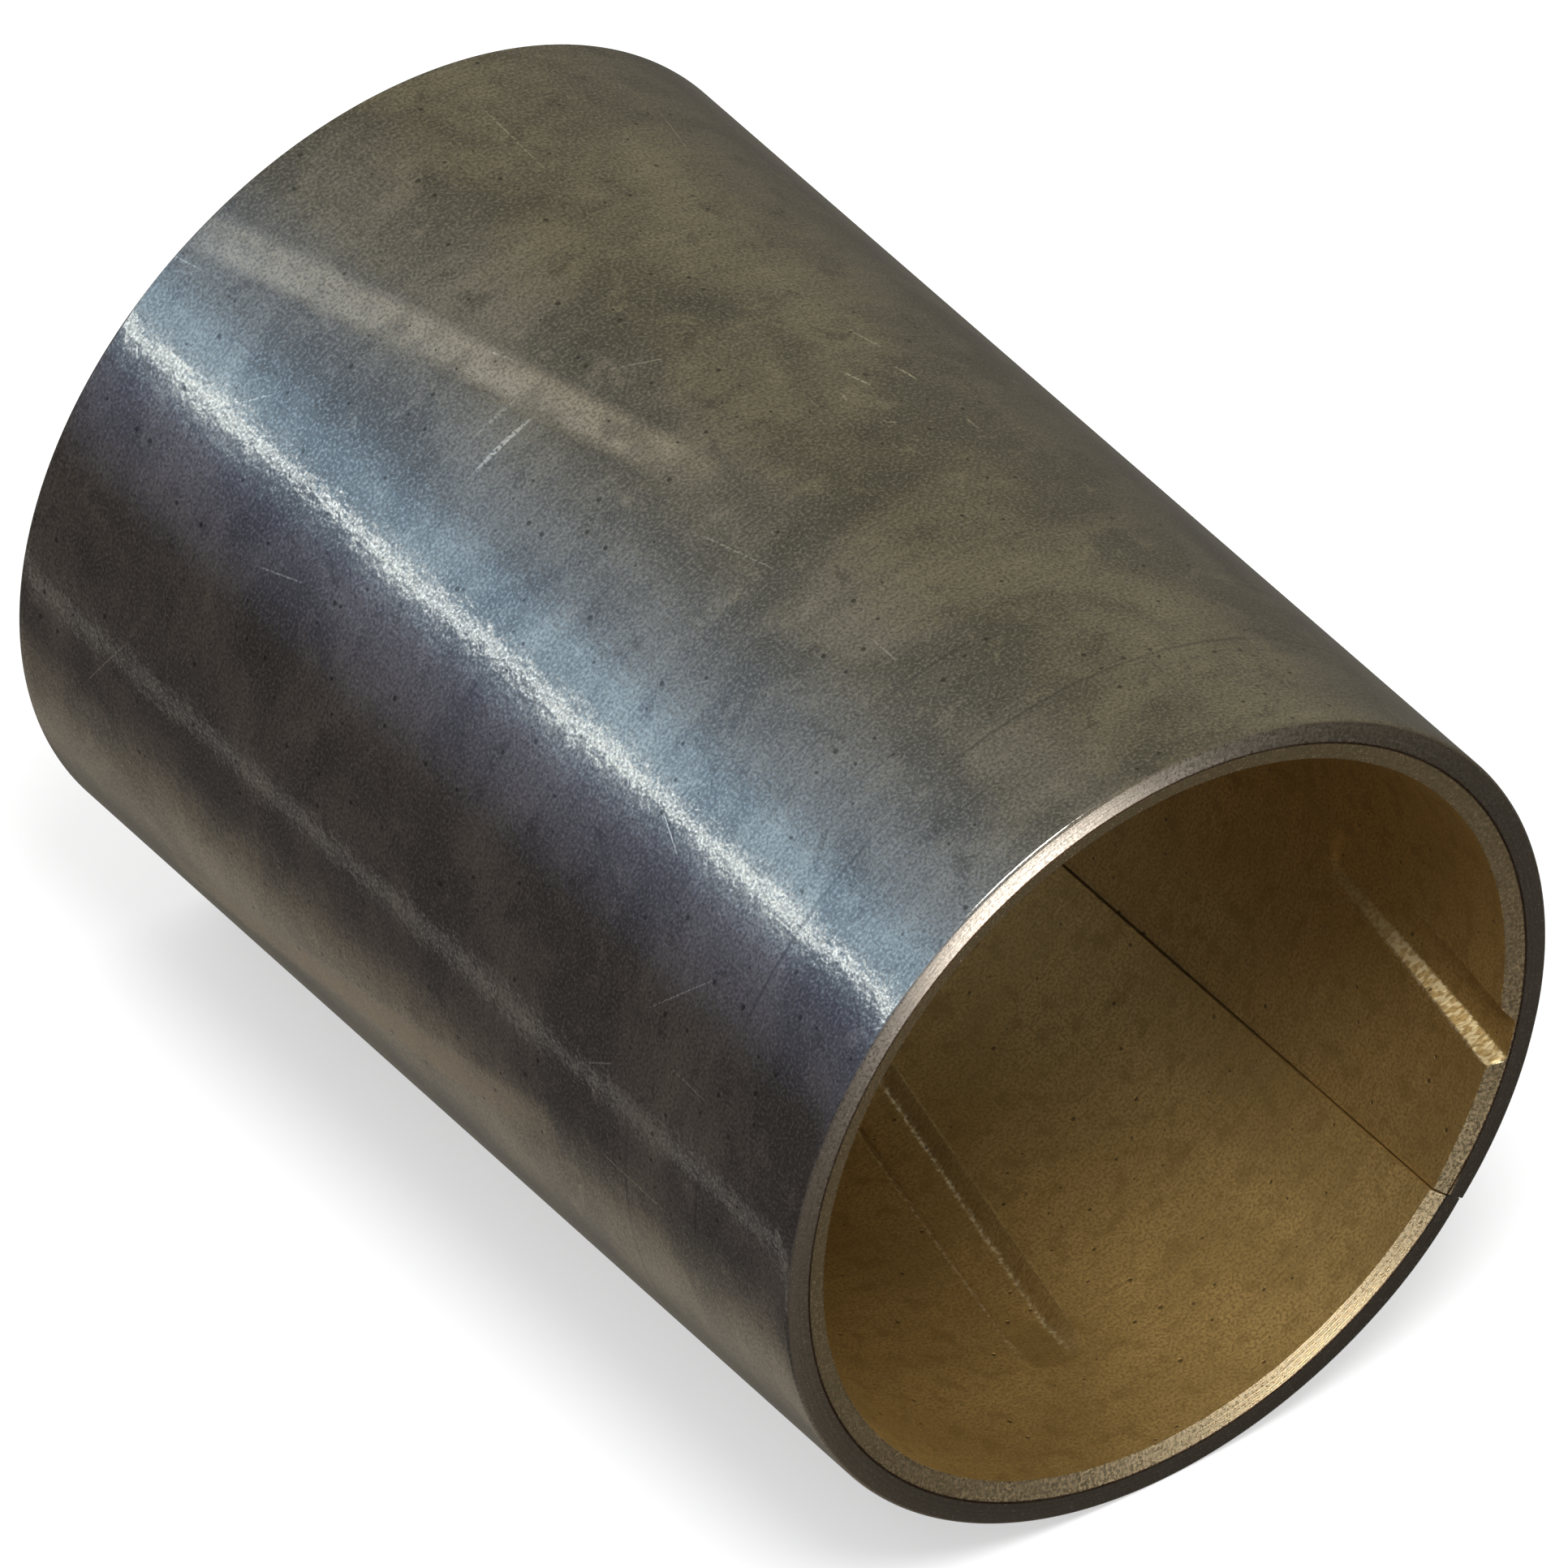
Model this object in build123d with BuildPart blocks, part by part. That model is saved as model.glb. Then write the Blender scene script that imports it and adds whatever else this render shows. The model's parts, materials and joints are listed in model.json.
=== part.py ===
from build123d import *
from math import cos, pi, radians, sin, tan
import os

# Wrapped bimetal sleeve bush: a steel strip with a bronze lining bonded to it, rolled round
# until its two ends butt together. It is pressed into a housing and a pin turns in its bore.
#
# Lengths are millimetres. The bore runs along +X and the bush lies on its side, +Z up.
# The origin is on the bore's axis, halfway along it. Angles are measured about +X, from +Y
# towards +Z, and depths are measured from the +X end, which is called the mouth.

outer_diameter = 39.0
bore_diameter = 35.0
length = 54.0
lining_thickness = 0.9

# Ends: the steel has a small round on its outer edge, and the lining a shallow lead-in.
edge_round = 0.35
lead_in_depth = 0.25

# Butt joint, along the whole length. The strip's two ends meet a little out of line: the
# lifted end leaves the bore along a tangent, and the low end falls short of the outside.
joint_angle = -38.2
joint_gap = 0.1
lifted_end_angle = 9.0
low_end_angle = 16.0
low_end_drop = 0.14

# Oil pockets, pressed into the lining before rolling, all by the same punch. They run at a
# slant to the axis, and those that lie across an end of the strip are cut open there.
pocket_length = 30.0
pocket_width = 3.0
pocket_floor_width = 1.4
pocket_depth = 0.8
pocket_slant = 11.5

# One row per pocket: the angle of its slanted line at the mouth, and the depth at which it starts.
pockets = [
    (-14.0, -18.0),
    (-14.0, 35.0),
    (-96.2, 6.6),
    (-185.6, 16.0),
    (-275.1, 25.7),
]

outer_radius = outer_diameter / 2
bore_radius = bore_diameter / 2
bond_radius = bore_radius + lining_thickness
helix_pitch = 2 * pi * bore_radius / tan(radians(pocket_slant))
punch_clearance = 0.3
tool_overrun = 1.0

os.makedirs("parts", exist_ok=True)


# The punch that presses one pocket, set up along +Z with its start on +X. It follows a
# left-hand helix on the bore, and its section is a trapezoid with its narrow side outermost.
wall_slope = (pocket_width - pocket_floor_width) / (2 * pocket_depth)
punch_top_width = pocket_width + 2 * punch_clearance * wall_slope

with BuildPart() as pocket_punch:
    with BuildLine() as pocket_line:
        Helix(pitch=helix_pitch, height=pocket_length, radius=bore_radius, lefthand=True)
    with BuildSketch(Plane(pocket_line.line @ 0, x_dir=(1, 0, 0), z_dir=pocket_line.line % 0)):
        with BuildLine():
            Polyline(
                (-punch_clearance, -punch_top_width / 2),
                (pocket_depth, -pocket_floor_width / 2),
                (pocket_depth, pocket_floor_width / 2),
                (-punch_clearance, punch_top_width / 2),
                close=True,
            )
        make_face()
    sweep(path=pocket_line.line, is_frenet=True)


def pocket_place(line_angle, start_depth):
    """Plane that stands the punch on its pocket's deep end, with +Z of the punch towards the mouth."""
    end_depth = start_depth + pocket_length
    end_angle = line_angle + 360 * end_depth / helix_pitch
    return Plane.YZ.offset(length / 2 - end_depth).rotated((end_angle, 0, 0))


# Everything that is missing at the butt joint, drawn with the joint along the sketch's own +X.
joint_plane = Plane.YZ.offset(-length / 2 - tool_overrun).rotated((joint_angle, 0, 0))

with BuildPart() as joint_cutter:
    with BuildSketch(joint_plane):
        # the gap between the strip's two ends
        with Locations(((bore_radius + outer_radius) / 2, 0)):
            Rectangle(outer_radius - bore_radius + 2 * tool_overrun, joint_gap)
    with BuildSketch(joint_plane):
        # inside the lifted end, between the bore's circle and its tangent
        with BuildLine():
            lift = radians(lifted_end_angle)
            Polyline(
                (bore_radius * cos(lift), bore_radius * sin(lift)),
                (bore_radius / cos(lift), 0),
                (bore_radius - tool_overrun, 0),
                close=True,
            )
        make_face()
    with BuildSketch(joint_plane):
        # outside the low end, where the strip curves in under the outside's circle
        with BuildLine():
            low = radians(low_end_angle)
            middle_radius = outer_radius - low_end_drop / 4
            clear_radius = outer_radius + tool_overrun
            ThreePointArc(
                (outer_radius * cos(low), -outer_radius * sin(low)),
                (middle_radius * cos(low / 2), -middle_radius * sin(low / 2)),
                (outer_radius - low_end_drop, 0),
            )
            Polyline(
                (outer_radius - low_end_drop, 0),
                (clear_radius, 0),
                (clear_radius * cos(low), -clear_radius * sin(low)),
                (outer_radius * cos(low), -outer_radius * sin(low)),
            )
        make_face()
    extrude(amount=length + 2 * tool_overrun)


# Steel backing, turned to length, with the outer edge of each end rounded by tumbling.
with BuildPart() as steel_shell:
    with BuildSketch(Plane.YZ.offset(-length / 2)):
        Circle(outer_radius)
        Circle(bond_radius, mode=Mode.SUBTRACT)
    extrude(amount=length)
    end_circles = steel_shell.edges().filter_by(GeomType.CIRCLE)
    fillet(end_circles.group_by(SortBy.RADIUS)[-1], radius=edge_round)
    add(joint_cutter.part, mode=Mode.SUBTRACT)

steel_shell.part.label = "steel_shell"
export_step(steel_shell.part, "parts/steel_shell.step")


# Bronze lining, bonded to the steel over its whole outside, with the oil pockets in its bore.
with BuildPart() as bronze_lining:
    with BuildSketch(Plane.XY):
        with BuildLine():
            Polyline(
                (-length / 2, bond_radius),
                (-length / 2 + lead_in_depth, bore_radius),
                (length / 2 - lead_in_depth, bore_radius),
                (length / 2, bond_radius),
                close=True,
            )
        make_face()
    revolve(axis=Axis.X)
    add(joint_cutter.part, mode=Mode.SUBTRACT)
    for line_angle, start_depth in pockets:
        punch_location = pocket_place(line_angle, start_depth).location
        add(pocket_punch.part.moved(punch_location), mode=Mode.SUBTRACT)

bronze_lining.part.label = "bronze_lining"
export_step(bronze_lining.part, "parts/bronze_lining.step")
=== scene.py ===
import json
import math

import bmesh
import bpy
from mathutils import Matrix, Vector


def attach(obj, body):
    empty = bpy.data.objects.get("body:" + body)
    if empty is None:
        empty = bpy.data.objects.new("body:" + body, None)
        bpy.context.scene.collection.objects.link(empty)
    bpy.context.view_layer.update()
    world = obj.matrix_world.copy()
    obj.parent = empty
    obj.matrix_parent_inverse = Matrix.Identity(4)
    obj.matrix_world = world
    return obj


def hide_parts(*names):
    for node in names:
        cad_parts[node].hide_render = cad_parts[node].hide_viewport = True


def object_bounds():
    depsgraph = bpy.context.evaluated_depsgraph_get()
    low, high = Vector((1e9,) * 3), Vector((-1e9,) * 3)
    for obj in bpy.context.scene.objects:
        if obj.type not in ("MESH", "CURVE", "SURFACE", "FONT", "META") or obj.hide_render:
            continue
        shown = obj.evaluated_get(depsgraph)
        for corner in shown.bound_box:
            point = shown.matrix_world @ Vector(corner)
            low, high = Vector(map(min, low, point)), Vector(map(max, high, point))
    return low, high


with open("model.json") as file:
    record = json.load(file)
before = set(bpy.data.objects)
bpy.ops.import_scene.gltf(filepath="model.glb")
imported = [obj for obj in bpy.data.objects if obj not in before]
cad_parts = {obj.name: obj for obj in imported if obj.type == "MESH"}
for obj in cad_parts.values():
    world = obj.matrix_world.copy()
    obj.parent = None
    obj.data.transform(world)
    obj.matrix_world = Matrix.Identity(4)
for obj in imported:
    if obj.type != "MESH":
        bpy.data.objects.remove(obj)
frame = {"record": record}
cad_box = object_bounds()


# ---------------------------------------------------------------------------------------------
# Camera: a long lens, well back, so the bush is drawn almost without perspective.
# It looks down into the mouth from in front and from the side.
MM = 0.001


def aim(thing, target):
    """Turns a camera or a light so that it faces the target, keeping its top upwards."""
    thing.rotation_euler = (target - thing.location).to_track_quat("-Z", "Y").to_euler()


CAMERA_AZIMUTH = math.radians(53.57)
CAMERA_ELEVATION = math.radians(40.6)
CAMERA_DISTANCE = 1.9
CAMERA_TARGET = Vector((0.20, 0.10, -0.11)) * MM
VIEW_WIDTH = 65.02 * MM

camera_data = bpy.data.cameras.new("camera")
camera_data.sensor_width = 36
camera_data.lens = camera_data.sensor_width * CAMERA_DISTANCE / VIEW_WIDTH
camera_data.clip_end = 100
camera = bpy.data.objects.new("camera", camera_data)
bpy.context.scene.collection.objects.link(camera)
camera.location = CAMERA_TARGET + CAMERA_DISTANCE * Vector((
    math.cos(CAMERA_ELEVATION) * math.sin(CAMERA_AZIMUTH),
    -math.cos(CAMERA_ELEVATION) * math.cos(CAMERA_AZIMUTH),
    math.sin(CAMERA_ELEVATION),
))
aim(camera, CAMERA_TARGET)
bpy.context.scene.camera = camera
bpy.context.scene.view_settings.view_transform = "Standard"


# ---------------------------------------------------------------------------------------------
# Studio: the bush lies on a plain pale floor that glows a little, like a light table. Its metal
# mirrors a long tent of cloth that runs beside it, with one bright slot in it. Two soft lamps
# light the floor and the bore.
FLOOR_HEIGHT = min(corner[2] for corner in cad_box)

bpy.ops.object.select_all(action="DESELECT")
bpy.ops.mesh.primitive_plane_add(size=12, location=(0, 0, FLOOR_HEIGHT))
floor = bpy.context.object
floor.name = "floor"
floor.visible_glossy = False

floor_paint = bpy.data.materials.new("floor_paint")
floor_paint.use_nodes = True
floor_shader = floor_paint.node_tree.nodes["Principled BSDF"]
floor_shader.inputs["Base Color"].default_value = (0.42, 0.42, 0.42, 1)
floor_shader.inputs["Emission Color"].default_value = (1, 1, 1, 1)
floor_shader.inputs["Emission Strength"].default_value = 0.52
floor_shader.inputs["Roughness"].default_value = 0.9
floor_shader.inputs["Specular IOR Level"].default_value = 0.1
floor.data.materials.append(floor_paint)


def lamp(name, place, size, watts, mirrored):
    """Adds a soft round lamp that faces the bush and is itself out of the picture."""
    lamp_data = bpy.data.lights.new(name, "AREA")
    lamp_data.shape = "DISK"
    lamp_data.size = size
    lamp_data.energy = watts
    made = bpy.data.objects.new(name, lamp_data)
    bpy.context.scene.collection.objects.link(made)
    made.location = place
    aim(made, Vector((0, 0, 0)))
    made.visible_glossy = mirrored
    made.visible_camera = False


lamp("overhead_lamp", (-0.05, -0.30, 1.2), size=1.3, watts=6, mirrored=False)
lamp("mouth_lamp", (0.29, -0.14, 0.67), size=0.30, watts=4.2, mirrored=True)

# The tent hangs round the bush's own axis: 0 is straight above, and positive leans to +Y. A cool
# window stands on one side between its hazy edges, warm cloth closes the top and the other side,
# and below it is dim, with one dark gap that a thin bright line runs through.
WINDOW = (0.60, 0.84, 1.15)
WINDOW_FRAME = (0.23, 0.25, 0.37)
WINDOW_HAZE = (0.42, 0.52, 0.68)
CEILING = (0.36, 0.36, 0.34)
WARM_CLOTH = (0.32, 0.30, 0.23)
DIM_CLOTH = (0.15, 0.14, 0.12)
PALE_CLOTH = (0.30, 0.27, 0.23)
DARK_GAP = (0.11, 0.10, 0.10)
BRIGHT_LINE = (0.8, 0.8, 0.8)
TENT = [
    (-180, PALE_CLOTH), (-170, PALE_CLOTH), (-145, DARK_GAP),
    (-130, DARK_GAP), (-129, BRIGHT_LINE), (-128, DARK_GAP),
    (-95, DARK_GAP), (-68, WINDOW_FRAME), (-53, WINDOW), (-45, WINDOW), (-37, WINDOW_HAZE),
    (-5, CEILING), (30, WARM_CLOTH), (70, WARM_CLOTH),
    (120, DIM_CLOTH), (165, DIM_CLOTH), (180, PALE_CLOTH),
]
TENT_TOP = 1.3
SLOT_ANGLE = -57.2
SLOT_HALF_WIDTH = 0.9
SLOT_STRENGTH = 5.2
# In front of the mouth and low down there is shadow to mirror, and beside it one bright card.
DARK_CORNER = Vector((0.61, 0.45, -0.65)).normalized()
CARD = Vector((0.942, 0.250, -0.221)).normalized()
CARD_RADIUS = 7
CARD_STRENGTH = 11.0


def node(tree, kind, **inputs):
    """Adds a shader node and sets its named sockets, from values or from other nodes' outputs."""
    made = tree.nodes.new(kind)
    connect(tree, made, inputs)
    return made


def connect(tree, made, inputs):
    for name, value in inputs.items():
        socket = made.inputs[int(name[1:])] if name[0] == "_" else made.inputs[name.replace("_", " ")]
        if isinstance(value, bpy.types.NodeSocket):
            tree.links.new(value, socket)
        else:
            socket.default_value = value


def math_node(tree, operation, first, second=0.0, third=0.0, clamp=False):
    """Adds a Math node and returns its output."""
    made = node(tree, "ShaderNodeMath", _0=first, _1=second, _2=third)
    made.operation = operation
    made.use_clamp = clamp
    return made.outputs[0]


world = bpy.data.worlds.new("studio")
bpy.context.scene.world = world
world.use_nodes = True
world.cycles.sampling_method = "NONE"
tree = world.node_tree
tree.nodes.clear()
direction = node(tree, "ShaderNodeSeparateXYZ", _0=tree.nodes.new("ShaderNodeTexCoord").outputs["Generated"])
angle = math_node(tree, "ARCTAN2", direction.outputs["Y"], direction.outputs["Z"])
turn = math_node(tree, "MULTIPLY_ADD", angle, 1 / (2 * math.pi), 0.5)
tent = node(tree, "ShaderNodeValToRGB", Fac=turn)
stops = tent.color_ramp.elements
for degrees, colour in TENT:
    position = degrees / 360 + 0.5
    stop = stops[0] if position == 0 else stops[-1] if position == 1 else stops.new(position)
    stop.color = (colour[0] / TENT_TOP, colour[1] / TENT_TOP, colour[2] / TENT_TOP, 1)
off_slot = math_node(tree, "ABSOLUTE", math_node(tree, "SUBTRACT", angle, math.radians(SLOT_ANGLE)))
slot = node(tree, "ShaderNodeMapRange", Value=off_slot)
slot.interpolation_type = "SMOOTHSTEP"
connect(tree, slot, {
    "From_Min": math.radians(SLOT_HALF_WIDTH), "From_Max": math.radians(SLOT_HALF_WIDTH * 0.5),
    "To_Min": 0.0, "To_Max": SLOT_STRENGTH,
})


def angle_from(tree, place):
    """Cosine of the angle between a mirrored ray and a place in the studio."""
    looking = tree.nodes["Texture Coordinate"].outputs["Generated"]
    made = node(tree, "ShaderNodeVectorMath", _0=looking, _1=place)
    made.operation = "DOT_PRODUCT"
    return made.outputs["Value"]


tent_strength = node(tree, "ShaderNodeMapRange", Value=angle_from(tree, DARK_CORNER))
connect(tree, tent_strength, {"From_Min": 0.6, "From_Max": 0.9, "To_Min": TENT_TOP, "To_Max": 0.5 * TENT_TOP})
card = node(tree, "ShaderNodeMapRange", Value=angle_from(tree, CARD))
card.interpolation_type = "SMOOTHSTEP"
connect(tree, card, {
    "From_Min": math.cos(math.radians(CARD_RADIUS)), "From_Max": math.cos(math.radians(CARD_RADIUS * 0.7)),
    "To_Min": 0.0, "To_Max": CARD_STRENGTH,
})
card_light = node(tree, "ShaderNodeBackground", Color=(1, 1, 1, 1), Strength=card.outputs[0])
tent_light = node(tree, "ShaderNodeBackground", Color=tent.outputs["Color"],
                  Strength=tent_strength.outputs[0])
slot_light = node(tree, "ShaderNodeBackground", Color=(0.90, 0.96, 1.0, 1), Strength=slot.outputs[0])
bright_parts = node(tree, "ShaderNodeAddShader", _0=card_light.outputs[0], _1=slot_light.outputs[0])
mirrored = node(tree, "ShaderNodeAddShader", _0=tent_light.outputs[0], _1=bright_parts.outputs[0])
soft_fill = node(tree, "ShaderNodeBackground", Color=(1, 1, 1, 1), Strength=0.85)
backdrop = node(tree, "ShaderNodeBackground", Color=(0.95, 0.95, 0.95, 1), Strength=1.0)
ray = tree.nodes.new("ShaderNodeLightPath")
lighting = node(tree, "ShaderNodeMixShader", Fac=ray.outputs["Is Glossy Ray"],
                _1=soft_fill.outputs[0], _2=mirrored.outputs[0])
seen = node(tree, "ShaderNodeMixShader", Fac=ray.outputs["Is Camera Ray"],
            _1=lighting.outputs[0], _2=backdrop.outputs[0])
node(tree, "ShaderNodeOutputWorld", Surface=seen.outputs[0])


# ---------------------------------------------------------------------------------------------
# Steel backing: cold-rolled strip, rolled round until its ends butt together, sized on the
# outside and turned to length. It is modelled as it is made: flat, then pressed, then rolled.
mount_sizes = {mount["name"]: mount["dims"] for mount in frame["record"]["mounts"]}
OUTER_RADIUS = mount_sizes["outside"]["r_mm"] * MM
BORE_RADIUS = mount_sizes["bore"]["r_mm"] * MM
LINING_THICKNESS = 0.9 * MM
BOND_RADIUS = BORE_RADIUS + LINING_THICKNESS
LENGTH = cad_box[1][0] - cad_box[0][0]

JOINT_ANGLE = math.radians(-38.2)
JOINT_GAP = 0.07 * MM
LIFTED_END = math.radians(9)
LOW_END = math.radians(16)
LOW_END_DROP = 0.14 * MM
CELLS_ALONG = 60
CELLS_AROUND = 300

# One row per oil pocket: the angle of its slanted line at the mouth, and the depth at which it starts.
POCKETS = [
    (-14.0, -18.0 * MM),
    (-14.0, 35.0 * MM),
    (-96.2, 6.6 * MM),
    (-185.6, 16.0 * MM),
    (-275.1, 25.7 * MM),
]
POCKET_LENGTH = 30 * MM
STRIP_SLANT = math.atan(math.tan(math.radians(11.5)) * BOND_RADIUS / BORE_RADIUS)


def flat_strip(name, thickness):
    """Makes a flat gridded slab: X along the bush, Y round it, Z outward from the bond."""
    bpy.ops.object.select_all(action="DESELECT")
    bpy.ops.mesh.primitive_grid_add(x_subdivisions=CELLS_ALONG, y_subdivisions=CELLS_AROUND, size=1)
    strip = bpy.context.object
    strip.name = name
    width = 2 * math.pi * BOND_RADIUS - JOINT_GAP
    bpy.ops.object.mode_set(mode="EDIT")
    bpy.ops.mesh.select_all(action="SELECT")
    bpy.ops.transform.resize(value=(LENGTH, width, 1))
    bpy.ops.transform.translate(value=(0, width / 2, 0))
    bpy.ops.mesh.extrude_region_move(TRANSFORM_OT_translate={"value": (0, 0, thickness)})
    bpy.ops.object.mode_set(mode="OBJECT")
    return strip


def select(strip, kind, test):
    """In edit mode, selects only the vertices, edges or faces whose middle passes the test."""
    bpy.ops.mesh.select_mode(type=kind)
    bpy.ops.mesh.select_all(action="DESELECT")
    shape = bmesh.from_edit_mesh(strip.data)
    if kind == "VERT":
        for vertex in shape.verts:
            vertex.select = test(vertex.co)
    if kind == "EDGE":
        for edge in shape.edges:
            edge.select = test((edge.verts[0].co + edge.verts[1].co) / 2)
    if kind == "FACE":
        for face in shape.faces:
            face.select = test(face.calc_center_median())
    shape.select_flush_mode()
    bmesh.update_edit_mesh(strip.data)


def line_height(line_angle):
    """Where a pocket's slanted line meets the mouth end of the flat strip."""
    return BOND_RADIUS * ((math.radians(line_angle) - JOINT_ANGLE) % (2 * math.pi))


def pocket_reach(point, line_angle, start, width):
    """How far a point of the flat strip lies inside a pocket's outline, along it and up across it."""
    depth = LENGTH / 2 - point.x
    off_line = point.y - line_height(line_angle) - depth * math.tan(STRIP_SLANT)
    across = abs(off_line) * math.cos(STRIP_SLANT)
    along = depth - start + off_line * math.sin(STRIP_SLANT) * math.cos(STRIP_SLANT)
    corner = 0.4 * width
    past_end = abs(along - POCKET_LENGTH / 2) - (POCKET_LENGTH / 2 - corner)
    past_side = across - (width / 2 - corner)
    outside = math.hypot(max(past_end, 0), max(past_side, 0)) + min(max(past_end, past_side), 0)
    return corner - outside, along, off_line / width + 0.5


def press_pockets(strip, face_height, width, walls, run_outs, depth, cuts):
    """Presses every pocket into one face of the strip. Marks where the punch has been, and which edges get
    burnish and a painted highlight.

    The lower and the upper wall differ in steepness, and so do the run-outs at the two ends.
    """
    across = Vector((math.sin(STRIP_SLANT), math.cos(STRIP_SLANT), 0))
    bpy.ops.object.mode_set(mode="EDIT")
    for line_angle, start in POCKETS:
        def near(point):
            on_face = abs(point.z - face_height) < 0.1 * MM
            return on_face and pocket_reach(point, line_angle, start, width)[0] > -0.3 * MM
        select(strip, "FACE", near)
        bpy.ops.mesh.subdivide(number_cuts=cuts)
        for offset in (-width / 2, walls[0] - width / 2, width / 2 - walls[1], width / 2):
            select(strip, "FACE", near)
            on_line = Vector((LENGTH / 2, line_height(line_angle), 0)) + across * offset
            bpy.ops.mesh.bisect(plane_co=on_line, plane_no=across)
    bpy.ops.object.mode_set(mode="OBJECT")
    names = ("pressed", "run_out", "burnish_and_highlight")
    for name in names:
        strip.data.attributes.new(name, "FLOAT", "POINT")
    pressed, run_out, burnish_and_highlight = (strip.data.attributes[name] for name in names)
    for vertex in strip.data.vertices:
        if abs(vertex.co.z - face_height) < 0.1 * MM:
            inside, along, up = max(pocket_reach(vertex.co, *pocket, width) for pocket in POCKETS)
            wall = walls[0] + (walls[1] - walls[0]) * min(max(up, 0), 1)
            to_end = min(along / run_outs[0], (POCKET_LENGTH - along) / run_outs[1])
            pressed.data[vertex.index].value = min(max(inside / wall, 0), 1)
            run_out.data[vertex.index].value = min(0.2 + max(to_end, 0), 1)
            vertex.co.z += depth * pressed.data[vertex.index].value * run_out.data[vertex.index].value
            on_wall = -0.12 * MM < inside < wall
            at_foot = abs(inside - wall) < 0.1 * MM
            # Edges that get burnish and a painted highlight: the steep lower wall, and the foot of the upper
            # one.
            burnish_and_highlight.data[vertex.index].value = on_wall if up < 0.5 else at_foot


def lay_out(strip):
    """Gives the flat strip a UV map in millimetres, round the bush and along it."""
    layer = strip.data.uv_layers[0] if strip.data.uv_layers else strip.data.uv_layers.new()
    layer.name = "strip"
    for loop in strip.data.loops:
        place = strip.data.vertices[loop.vertex_index].co
        layer.data[loop.index].uv = (place.y / MM, (LENGTH / 2 - place.x) / MM)


def roll(strip):
    """Rolls the flat strip round the bush's axis, with its ends a little out of line."""
    wall = OUTER_RADIUS - BORE_RADIUS
    for vertex in strip.data.vertices:
        x, y, z = vertex.co
        turned = (y + JOINT_GAP / 2) / BOND_RADIUS
        outward = (BOND_RADIUS + z - BORE_RADIUS) / wall
        radius = BOND_RADIUS + z
        if turned < LIFTED_END:
            radius += (1 - outward) * BORE_RADIUS * (1 / math.cos(LIFTED_END - turned) - 1)
        to_end = 2 * math.pi - turned
        if to_end < LOW_END:
            radius -= outward * LOW_END_DROP * (1 - to_end / LOW_END) ** 2
        angle = JOINT_ANGLE + turned
        vertex.co = (x, radius * math.cos(angle), radius * math.sin(angle))
    bpy.ops.object.mode_set(mode="EDIT")
    bpy.ops.mesh.select_all(action="SELECT")
    bpy.ops.mesh.normals_make_consistent(inside=False)
    bpy.ops.object.mode_set(mode="OBJECT")
    bpy.ops.object.shade_smooth_by_angle(angle=math.radians(30))


def face_ends(strip, end_finish):
    """Gives the turned end faces their own finish, in the second material slot."""
    strip.data.materials.append(end_finish)
    for face in strip.data.polygons:
        if abs(face.normal.x) > 0.8 and abs(face.center.x) > LENGTH / 2 - 0.5 * MM:
            face.material_index = 1


STEEL_THICKNESS = OUTER_RADIUS - BOND_RADIUS
EDGE_ROUND = 0.15 * MM
END_CROWN = 0.04 * MM
shell = flat_strip("steel_backing", STEEL_THICKNESS)
bpy.ops.object.mode_set(mode="EDIT")
for end in (-1, 1):
    select(shell, "VERT", lambda point: abs(point.x - end * LENGTH / 2) < 0.01 * MM
           and point.z > 0.05 * MM)
    bpy.ops.transform.translate(value=(-end * END_CROWN, 0, 0))
select(shell, "EDGE", lambda point: abs(abs(point.x) - LENGTH / 2 + END_CROWN) < 0.01 * MM
       and abs(point.z - STEEL_THICKNESS) < 0.1 * MM)
bpy.ops.mesh.bevel(offset=EDGE_ROUND, segments=5)
bpy.ops.object.mode_set(mode="OBJECT")
press_pockets(shell, STEEL_THICKNESS, width=2.3 * MM, walls=(0.6 * MM, 0.6 * MM), run_outs=(5 * MM, 5 * MM),
              depth=-0.01 * MM, cuts=2)
lay_out(shell)
roll(shell)


def new_group(name, inputs, outputs):
    """Starts a shader node group and returns its tree, its input node and its output node."""
    group = bpy.data.node_groups.new(name, "ShaderNodeTree")
    for socket, kind in inputs:
        group.interface.new_socket(name=socket, in_out="INPUT", socket_type="NodeSocket" + kind)
    for socket, kind in outputs:
        group.interface.new_socket(name=socket, in_out="OUTPUT", socket_type="NodeSocket" + kind)
    return group, group.nodes.new("NodeGroupInput"), group.nodes.new("NodeGroupOutput")


def noise(tree, vector, scale, detail=2.0, roughness=0.5, distortion=0.0):
    made = node(tree, "ShaderNodeTexNoise", Vector=vector, Scale=scale, Detail=detail,
                Roughness=roughness, Distortion=distortion)
    return made.outputs[0]


def between(tree, value, low, high, to_low=0.0, to_high=1.0):
    """Maps a value smoothly from one range to another, and holds it at the ends."""
    made = node(tree, "ShaderNodeMapRange", Value=value, From_Min=low, From_Max=high,
                To_Min=to_low, To_Max=to_high)
    made.interpolation_type = "SMOOTHSTEP"
    return made.outputs[0]


def blend(tree, amount, first, second, kind="MIX"):
    """Mixes two colours."""
    made = tree.nodes.new("ShaderNodeMix")
    made.data_type = "RGBA"
    made.blend_type = kind
    for socket, value in ((0, amount), (6, first), (7, second)):
        if isinstance(value, bpy.types.NodeSocket):
            tree.links.new(value, made.inputs[socket])
        else:
            made.inputs[socket].default_value = value
    return made.outputs[2]


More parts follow.
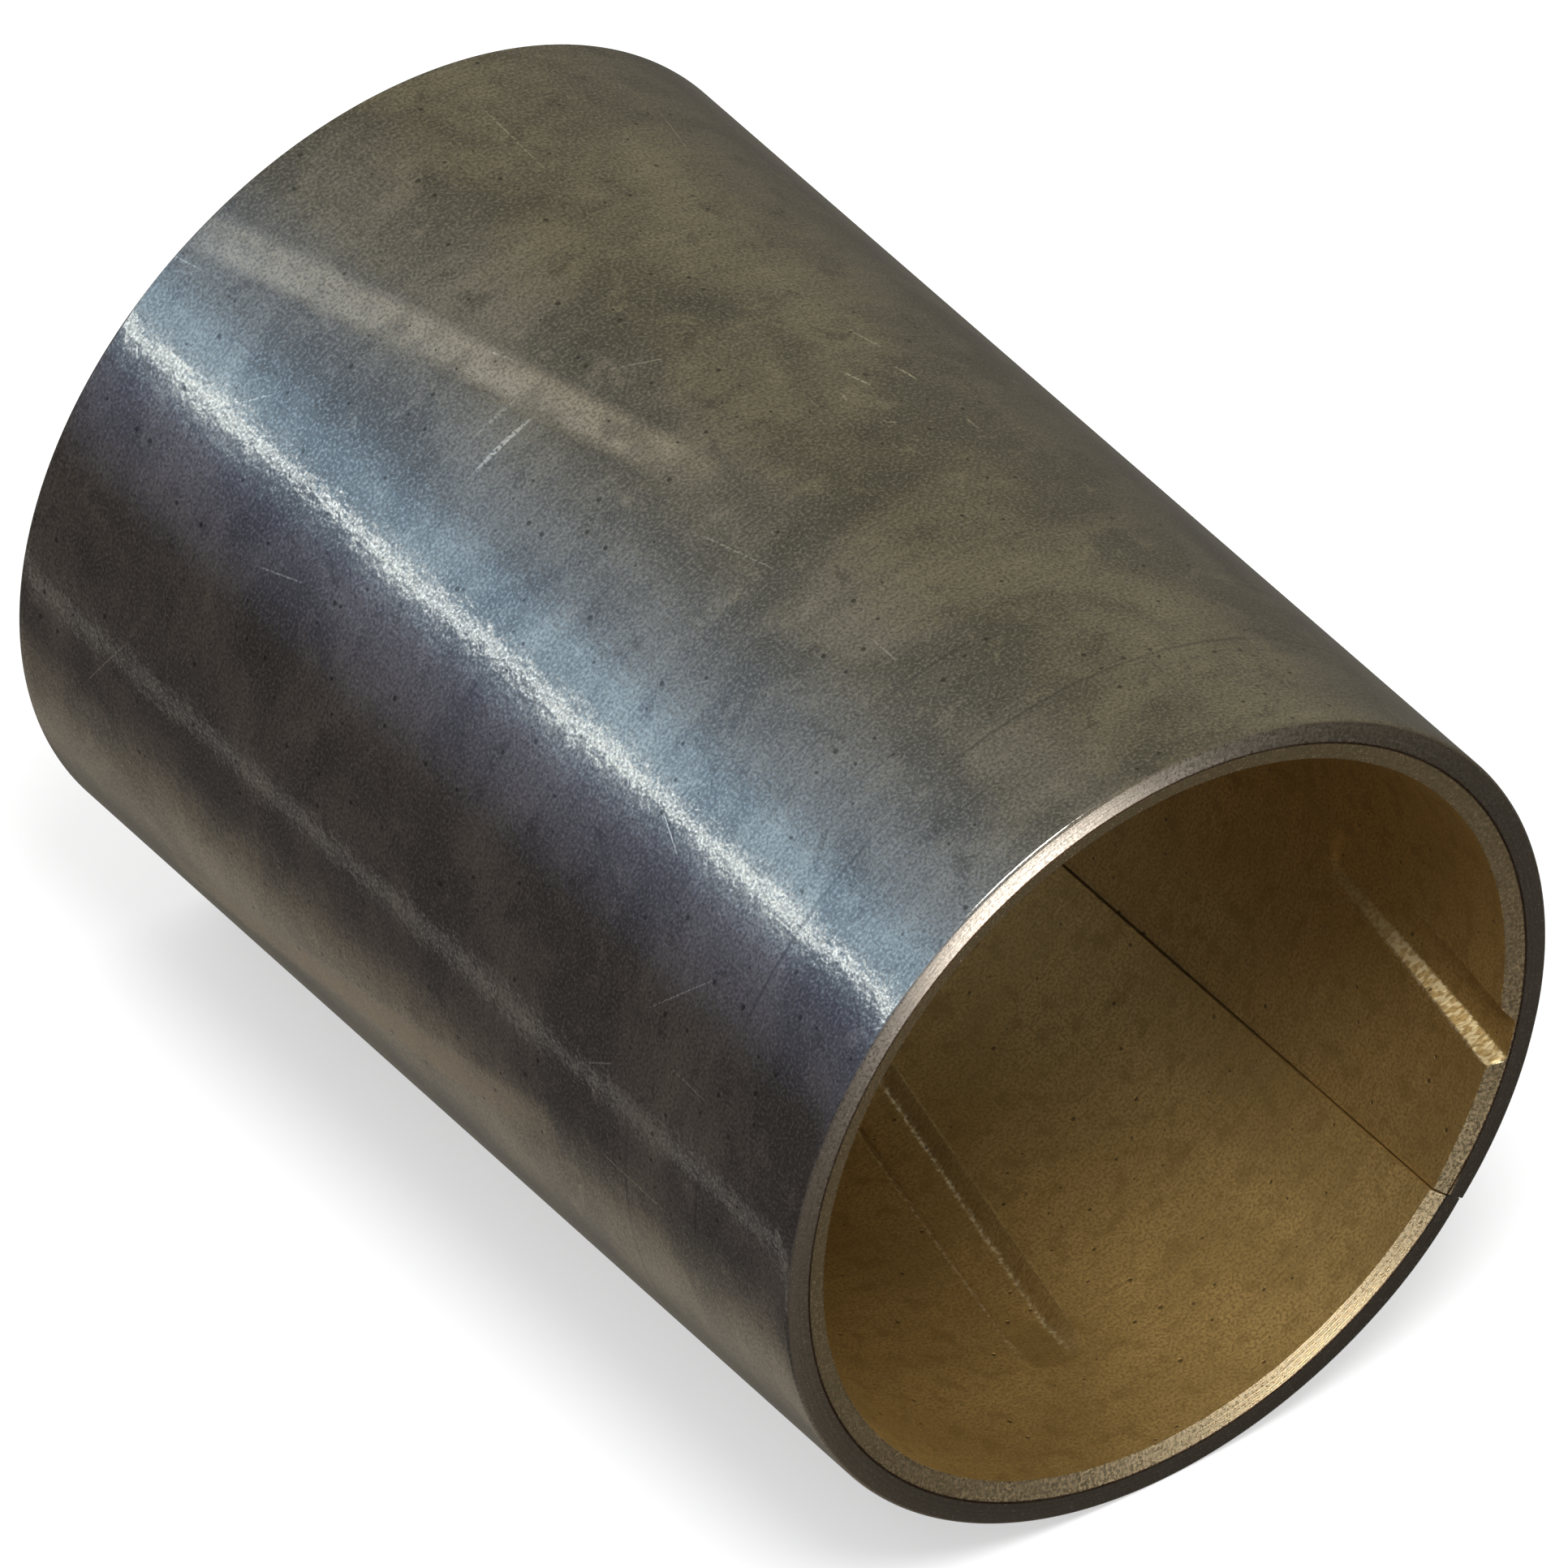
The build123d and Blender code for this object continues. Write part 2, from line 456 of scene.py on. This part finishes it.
# Worn skin: the marks that both metals carry, from millimetre coordinates on the strip.
skin, skin_in, skin_out = new_group("worn_skin", [("Place", "Vector"), ("Speck Size", "Float")], [
    ("Grain", "Float"), ("Mottle", "Float"), ("Specks", "Float"), ("Streaks", "Float")])
place = skin_in.outputs["Place"]
grain_fine = noise(skin, place, 7.0, 3.0, 0.65)
mottle = noise(skin, place, 0.16, 5.0, 0.55, 0.6)
speck_cells = node(skin, "ShaderNodeTexVoronoi", Vector=place, Scale=0.8)
speck_cells.voronoi_dimensions = "2D"
speck_random = node(skin, "ShaderNodeSeparateColor", Color=speck_cells.outputs["Color"])
speck_size = math_node(skin, "MULTIPLY", math_node(skin, "POWER", speck_random.outputs[0], 4.0),
                       skin_in.outputs["Speck Size"])
speck_size = math_node(skin, "ADD", speck_size, 0.001)
speck_reach = math_node(skin, "DIVIDE", speck_cells.outputs["Distance"], speck_size)
specks = between(skin, speck_reach, 1.0, 0.6)
stretched = node(skin, "ShaderNodeVectorMath", _0=place, _1=(0.05, 1.6, 1.0))
stretched.operation = "MULTIPLY"
streaks = noise(skin, stretched.outputs[0], 1.0, 4.0, 0.6)
for name, value in (("Grain", grain_fine), ("Mottle", mottle), ("Specks", specks),
                    ("Streaks", streaks)):
    skin.links.new(value, skin_out.inputs[name])

# Scratches: short straight strokes scattered in cells, each turned its own way.
scratches, scratch_in, scratch_out = new_group(
    "scratches", [("Place", "Vector"), ("Cells", "Float"), ("Chance", "Float"), ("Width", "Float")],
    [("Mask", "Float")])
stroke_cells = node(scratches, "ShaderNodeTexVoronoi", Vector=scratch_in.outputs["Place"],
                    Scale=scratch_in.outputs["Cells"])
stroke_cells.voronoi_dimensions = "2D"
stroke_random = node(scratches, "ShaderNodeSeparateColor", Color=stroke_cells.outputs["Color"])
from_middle = node(scratches, "ShaderNodeVectorMath", _0=scratch_in.outputs["Place"],
                   _1=stroke_cells.outputs["Position"])
from_middle.operation = "SUBTRACT"
stroke_turn = math_node(scratches, "MULTIPLY_ADD", stroke_random.outputs[0], 1.6, -0.5)
turned_place = node(scratches, "ShaderNodeVectorRotate", Vector=from_middle.outputs[0], Angle=stroke_turn)
turned_place.rotation_type = "Z_AXIS"
stroke = node(scratches, "ShaderNodeSeparateXYZ", Vector=turned_place.outputs[0])
sideways = math_node(scratches, "DIVIDE", math_node(scratches, "ABSOLUTE", stroke.outputs["X"]),
                     scratch_in.outputs["Width"])
half_length = math_node(scratches, "MULTIPLY_ADD", stroke_random.outputs[1], 0.5, 0.1)
stroke_reach = math_node(scratches, "DIVIDE", half_length, scratch_in.outputs["Cells"])
lengthways = math_node(scratches, "DIVIDE", math_node(scratches, "ABSOLUTE", stroke.outputs["Y"]),
                       stroke_reach)
thin = between(scratches, sideways, 1.0, 0.2)
short = between(scratches, lengthways, 1.0, 0.5)
chosen = math_node(scratches, "LESS_THAN", stroke_random.outputs[2], scratch_in.outputs["Chance"])
scratches.links.new(math_node(scratches, "MULTIPLY", math_node(scratches, "MULTIPLY", thin, short), chosen),
                    scratch_out.inputs["Mask"])


def use_group(tree, group, **inputs):
    made = tree.nodes.new("ShaderNodeGroup")
    made.node_tree = group
    connect(tree, made, inputs)
    return made.outputs


def start_metal(name):
    """Starts a bare metal and returns its tree and its shader."""
    made = bpy.data.materials.new(name)
    made.use_nodes = True
    shader = made.node_tree.nodes["Principled BSDF"]
    shader.inputs["Metallic"].default_value = 1.0
    return made, made.node_tree, shader


def near_spot(tree, across, along, middle, reach):
    """A soft round or oval mask on the strip, 1 in its middle."""
    off_across = math_node(tree, "DIVIDE", math_node(tree, "SUBTRACT", across, middle[0]), reach[0])
    off_along = math_node(tree, "DIVIDE", math_node(tree, "SUBTRACT", along, middle[1]), reach[1])
    squared = math_node(tree, "MULTIPLY_ADD", off_across, off_across,
                        math_node(tree, "MULTIPLY", off_along, off_along))
    return between(tree, squared, 1.0, 0.3)


steel, tree, steel_shader = start_metal("rolled_steel")
strip_map = node(tree, "ShaderNodeUVMap")
strip_map.uv_map = "strip"
place = strip_map.outputs[0]
marks = use_group(tree, skin, Place=place, Speck_Size=0.12)
where = node(tree, "ShaderNodeSeparateXYZ", Vector=place)
arc, depth_in = where.outputs["X"], where.outputs["Y"]
colour = blend(tree, between(tree, marks["Mottle"], 0.34, 0.66), (0.25, 0.24, 0.21, 1), (0.47, 0.43, 0.35, 1))
# One large dull patch and one paler one lie on top, with smaller blotches all over.
dull_patch = near_spot(tree, arc, depth_in, (34.0, 20.0), (10.0, 7.0))
pale_patch = near_spot(tree, arc, depth_in, (34.0, 41.0), (10.0, 7.0))
colour = blend(tree, math_node(tree, "MULTIPLY", dull_patch, 0.3), colour, (0.22, 0.20, 0.165, 1))
colour = blend(tree, math_node(tree, "MULTIPLY", pale_patch, 0.3), colour, (0.54, 0.48, 0.38, 1))
blotches = noise(tree, place, 0.55, 6.0, 0.65, 0.4)
colour = blend(tree, between(tree, blotches, 0.46, 0.32, 0.0, 0.65), colour, (0.19, 0.175, 0.15, 1))
colour = blend(tree, between(tree, blotches, 0.54, 0.68, 0.0, 0.65), colour, (0.56, 0.51, 0.415, 1))
colour = blend(tree, between(tree, marks["Streaks"], 0.35, 0.7, 0.0, 0.35), colour, (0.25, 0.24, 0.22, 1))
colour = blend(tree, between(tree, marks["Grain"], 0.36, 0.5, 0.6, 0.0), colour, (0.16, 0.155, 0.15, 1))
colour = blend(tree, between(tree, marks["Grain"], 0.5, 0.64, 0.0, 0.5), colour, (0.66, 0.63, 0.56, 1))

# The strip shows pale and dull over each oil pocket, where the punch pushed it from behind.
print_mark = node(tree, "ShaderNodeAttribute")
print_mark.attribute_name = "pressed"
print_end = node(tree, "ShaderNodeAttribute")
print_end.attribute_name = "run_out"
print_ghost = math_node(tree, "MULTIPLY", print_mark.outputs["Fac"], print_end.outputs["Fac"])
print_ghost = math_node(tree, "MULTIPLY", print_ghost, between(tree, marks["Grain"], 0.35, 0.6, 0.45, 1.0))
print_wear = between(tree, noise(tree, place, 0.6, 4.0), 0.35, 0.55, 0.55, 1.0)
print_ghost = math_node(tree, "MULTIPLY", print_ghost, print_wear)
colour = blend(tree, math_node(tree, "MULTIPLY", print_ghost, 0.8), colour, (0.78, 0.68, 0.53, 1))
# Two faint dark lines run part of the way round near the mouth, left by the sizing die.
die_lines = None
for line_depth in (6.4, 11.2):
    off_line = math_node(tree, "ABSOLUTE", math_node(tree, "SUBTRACT", depth_in, line_depth))
    line = between(tree, off_line, 0.12, 0.03)
    line = math_node(tree, "MULTIPLY", line, between(tree, noise(tree, place, 0.12, 2.0), 0.4, 0.6))
    die_lines = line if die_lines is None else math_node(tree, "MAXIMUM", die_lines, line)
colour = blend(tree, math_node(tree, "MULTIPLY", die_lines, 0.4), colour, (0.10, 0.10, 0.10, 1))
few = use_group(tree, scratches, Place=place, Cells=0.16, Chance=0.3, Width=0.055)["Mask"]
handling = use_group(tree, scratches, Place=place, Cells=0.45, Chance=0.8, Width=0.11)["Mask"]
patch = near_spot(tree, arc, depth_in, (35.4, 27.0), (3.6, 5.0))
scuffs = math_node(tree, "MAXIMUM", math_node(tree, "MULTIPLY", few, 0.6),
                   math_node(tree, "MULTIPLY", handling, patch))
# Two knocks lie side by side, a long one and a fainter one.
for middle, reach, strength in (((49.6, 34.5), (1.9, 0.15), 1.0), ((49.0, 35.8), (1.2, 0.10), 0.6)):
    knock = math_node(tree, "MULTIPLY", near_spot(tree, arc, depth_in, middle, reach), strength)
    scuffs = math_node(tree, "MAXIMUM", scuffs, knock)
scuffs = math_node(tree, "MULTIPLY", scuffs, between(tree, marks["Grain"], 0.35, 0.55))
colour = blend(tree, scuffs, colour, (0.85, 0.80, 0.68, 1))
colour = blend(tree, math_node(tree, "MULTIPLY", marks["Specks"], 0.7), colour, (0.07, 0.065, 0.06, 1))
steel_rough = between(tree, marks["Mottle"], 0.3, 0.7, 0.11, 0.15)
steel_rough = math_node(tree, "MULTIPLY_ADD", print_ghost, 0.26, steel_rough)
steel_rough = math_node(tree, "MULTIPLY_ADD", scuffs, 0.25, steel_rough)
waviness = math_node(tree, "MULTIPLY_ADD", noise(tree, place, 0.22, 1.0), 3.0,
                     noise(tree, place, 2.0, 2.0, 0.55))
steel_height = math_node(tree, "MULTIPLY_ADD", marks["Grain"], 0.14, waviness)
steel_height = math_node(tree, "MULTIPLY_ADD", scuffs, -0.4, steel_height)
steel_bump = node(tree, "ShaderNodeBump", Height=steel_height, Strength=1.0, Distance=0.015 * MM)
connect(tree, steel_shader, {"Base_Color": colour, "Roughness": steel_rough, "Normal": steel_bump.outputs[0]})
shell.data.materials.append(steel)


def turned_ring(name, bright, dull, edge_line, rough, groove, lean):
    """A ring faced on a lathe: fine grooves, a slight outward lean, and a dark line at the bond."""
    made, tree, shader = start_metal(name)
    spot = tree.nodes.new("ShaderNodeTexCoord").outputs["Object"]
    in_mm = node(tree, "ShaderNodeVectorMath", _0=spot, _1=(0, 1 / MM, 1 / MM))
    in_mm.operation = "MULTIPLY"
    radial = node(tree, "ShaderNodeVectorMath", _0=in_mm.outputs[0])
    radial.operation = "LENGTH"
    radius_mm = radial.outputs["Value"]
    wobble = noise(tree, in_mm.outputs[0], 0.3, 2.0)
    rings = node(tree, "ShaderNodeTexNoise", Scale=13.0, Detail=2.0, Roughness=0.5)
    rings.noise_dimensions = "1D"
    connect(tree, rings, {"W": math_node(tree, "MULTIPLY_ADD", wobble, 0.25, radius_mm)})
    grit = noise(tree, in_mm.outputs[0], 6.0, 3.0, 0.6)
    colour = blend(tree, between(tree, rings.outputs[0], 0.35, 0.65, 0.35, 0.9), dull, bright)
    colour = blend(tree, between(tree, grit, 0.45, 0.75, 0.0, 0.4), colour, dull)
    off_bond = math_node(tree, "ABSOLUTE", math_node(tree, "SUBTRACT", radius_mm, BOND_RADIUS / MM))
    colour = blend(tree, between(tree, off_bond, 0.08, 0.02), colour, edge_line)
    height = math_node(tree, "MULTIPLY", rings.outputs[0], groove)
    height = math_node(tree, "MULTIPLY_ADD", grit, 0.0004, height)
    height = math_node(tree, "MULTIPLY_ADD", radius_mm, -lean, height)
    bump = node(tree, "ShaderNodeBump", Height=height, Strength=1.0, Distance=MM)
    connect(tree, shader, {"Base_Color": colour, "Normal": bump.outputs[0],
                           "Roughness": between(tree, grit, 0.3, 0.7, rough - 0.05, rough + 0.08)})
    return made


turned_steel = turned_ring("turned_steel", (0.45, 0.40, 0.34, 1), (0.28, 0.235, 0.19, 1),
                           (0.07, 0.035, 0.02, 1), rough=0.26, groove=0.005, lean=0.25)
face_ends(shell, turned_steel)
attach(shell, "root")
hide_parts("steel_shell")


# ---------------------------------------------------------------------------------------------
# Bronze lining: cast on the strip and bonded to it. The oil pockets are pressed into it while
# the strip is flat. The real lead-in at each end is turned after rolling; here the flat end is
# sloped first, and rolls up to the same cone.
LEAD_IN = 0.25 * MM
lining = flat_strip("bronze_lining_bore", -LINING_THICKNESS)
press_pockets(lining, -LINING_THICKNESS, width=3.0 * MM, walls=(0.4 * MM, 0.8 * MM),
              run_outs=(4 * MM, 14 * MM), depth=0.8 * MM, cuts=4)
lay_out(lining)
for vertex in lining.data.vertices:
    if abs(vertex.co.x) > LENGTH / 2 - 0.01 * MM:
        vertex.co.x -= math.copysign(LEAD_IN, vertex.co.x) * -vertex.co.z / LINING_THICKNESS
roll(lining)

bronze, tree, bronze_shader = start_metal("bearing_bronze")
strip_map = node(tree, "ShaderNodeUVMap")
strip_map.uv_map = "strip"
place = strip_map.outputs[0]
marks = use_group(tree, skin, Place=place, Speck_Size=0.11)
where = node(tree, "ShaderNodeSeparateXYZ", Vector=place)
arc, depth_in = where.outputs["X"], where.outputs["Y"]
colour = blend(tree, between(tree, marks["Mottle"], 0.3, 0.7), (0.47, 0.31, 0.10, 1), (0.61, 0.415, 0.15, 1))
colour = blend(tree, between(tree, marks["Streaks"], 0.4, 0.75, 0.0, 0.3), colour, (0.34, 0.22, 0.08, 1))
colour = blend(tree, between(tree, marks["Grain"], 0.36, 0.6, 0.75, 0.0), colour, (0.27, 0.17, 0.06, 1))
stains = noise(tree, place, 0.9, 5.0, 0.6)
colour = blend(tree, between(tree, stains, 0.5, 0.35, 0.0, 0.5), colour, (0.30, 0.19, 0.06, 1))
# Pale gold dots lie on the steep wall of each pocket and on the foot of the other wall. They are partly
# burnish from the punch and partly a painted highlight where these edges catch the light.
pocket_edge = node(tree, "ShaderNodeAttribute")
pocket_edge.attribute_name = "burnish_and_highlight"
pocket_end = node(tree, "ShaderNodeAttribute")
pocket_end.attribute_name = "run_out"
dots = between(tree, noise(tree, place, 3.5, 1.0), 0.46, 0.58, 0.15, 1.0)
burnish_and_highlight_amount = math_node(tree, "MULTIPLY", math_node(tree, "MULTIPLY", pocket_edge.outputs["Fac"], dots),
                    between(tree, pocket_end.outputs["Fac"], 0.3, 0.8, 0.0, 0.6))
colour = blend(tree, burnish_and_highlight_amount, colour, (0.95, 0.80, 0.48, 1))
colour = blend(tree, math_node(tree, "MULTIPLY", marks["Specks"], 0.7), colour, (0.07, 0.045, 0.02, 1))
bronze_rough = between(tree, marks["Mottle"], 0.3, 0.7, 0.54, 0.62)
bronze_rough = math_node(tree, "MULTIPLY_ADD", burnish_and_highlight_amount, -0.12, bronze_rough)
bronze_height = math_node(tree, "MULTIPLY_ADD", marks["Specks"], -1.5, marks["Grain"])
bronze_bump = node(tree, "ShaderNodeBump", Height=bronze_height, Strength=1.0, Distance=0.02 * MM)
tarnish = between(tree, marks["Mottle"], 0.3, 0.7, 0.90, 0.98)
connect(tree, bronze_shader, {"Base_Color": colour, "Roughness": bronze_rough, "Metallic": tarnish,
                              "Normal": bronze_bump.outputs[0]})
lining.data.materials.append(bronze)

turned_bronze = turned_ring("turned_bronze", (0.88, 0.70, 0.44, 1), (0.66, 0.51, 0.29, 1),
                            (0.10, 0.04, 0.02, 1), rough=0.25, groove=0.005, lean=0.09)
face_ends(lining, turned_bronze)
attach(lining, "root")
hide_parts("bronze_lining")
